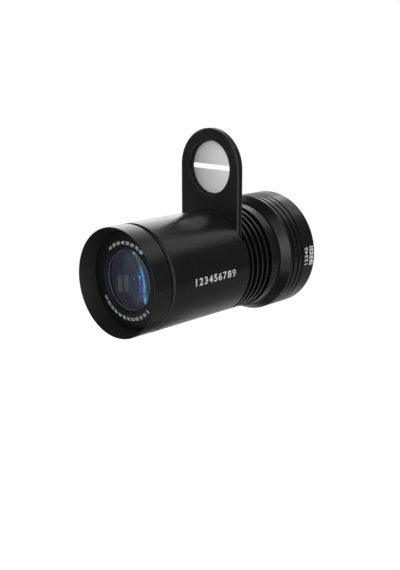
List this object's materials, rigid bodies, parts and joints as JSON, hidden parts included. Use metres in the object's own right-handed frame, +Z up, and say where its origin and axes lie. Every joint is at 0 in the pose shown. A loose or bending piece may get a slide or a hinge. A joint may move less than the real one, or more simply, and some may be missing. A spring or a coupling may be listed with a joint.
{
  "type": "gobo projector",
  "caption": "Black tubular gobo projector head with a focusing hood, a lift-out holder for a double-ended gobo slide, cooling fins and a bayonet ring for a light.",
  "frame": {"origin": "centre of the rear face, on the optical axis, where the light's front face meets the projector", "axes": "+Y towards the light, so the lens looks along -Y; +Z up, the way the gobo holder lifts out; +X to the right seen from the front"},
  "size_m": [0.0646, 0.1192, 0.1038],
  "materials": {
    "black_anodised": "satin black anodised",
    "matt_black": "matt black anodised",
    "black_steel": "black oxide",
    "spring_steel": "bright",
    "gobo_steel": "fine brushed",
    "magnet_rubber": "matt",
    "black_rubber": "matt",
    "coated_glass": "blue anti-reflection coating"
  },
  "bodies": {
    "body": {"barrel": "black_anodised", "guide_screw": "black_steel", "finned_body": "black_anodised", "gate_cover": "matt_black", "holder_spring": "spring_steel", "gate_block": "matt_black", "gate_screw": "black_steel", "front_condenser": "coated_glass", "condenser_spacer": "matt_black", "rear_condenser": "coated_glass", "condenser_ring": "matt_black", "rear_housing": "black_anodised", "bayonet_spring": "spring_steel", "mount_ring": "black_steel", "mount_screw_1": "black_steel", "mount_screw_2": "black_steel", "mount_screw_3": "black_steel"},
    "lens_unit": {"lens_tube": "matt_black", "name_ring": "matt_black", "front_lens": "coated_glass", "lens_spacer": "matt_black", "rear_lens": "coated_glass", "tube_clip": "spring_steel"},
    "focus_unit": {"focus_ring": "black_anodised", "friction_ring": "black_rubber"},
    "holder": {"holder_frame": "black_anodised", "magnet_sheet": "magnet_rubber"},
    "gobo": {"gobo_slide": "gobo_steel"}
  },
  "joints": [
    {"name": "focus_travel", "type": "slide", "parent": "body", "child": "lens_unit", "axis": [0, -1, 0], "range_m": [0, 0.008]},
    {"name": "focus_turn", "type": "hinge", "parent": "lens_unit", "child": "focus_unit", "pos_m": [0, -0.11, 0], "axis": [0, -1, 0], "range_deg": [0, 288]},
    {"name": "holder_lift", "type": "slide", "parent": "body", "child": "holder", "axis": [0, 0, 1], "range_m": [0, 0.052]},
    {"name": "gobo_lift", "type": "slide", "parent": "holder", "child": "gobo", "axis": [0, 0, 1], "range_m": [0, 0.09]}
  ],
  "couplings": [
    {"joint": "focus_turn", "follows": "focus_travel", "rad_per_m": 628.3}
  ]
}
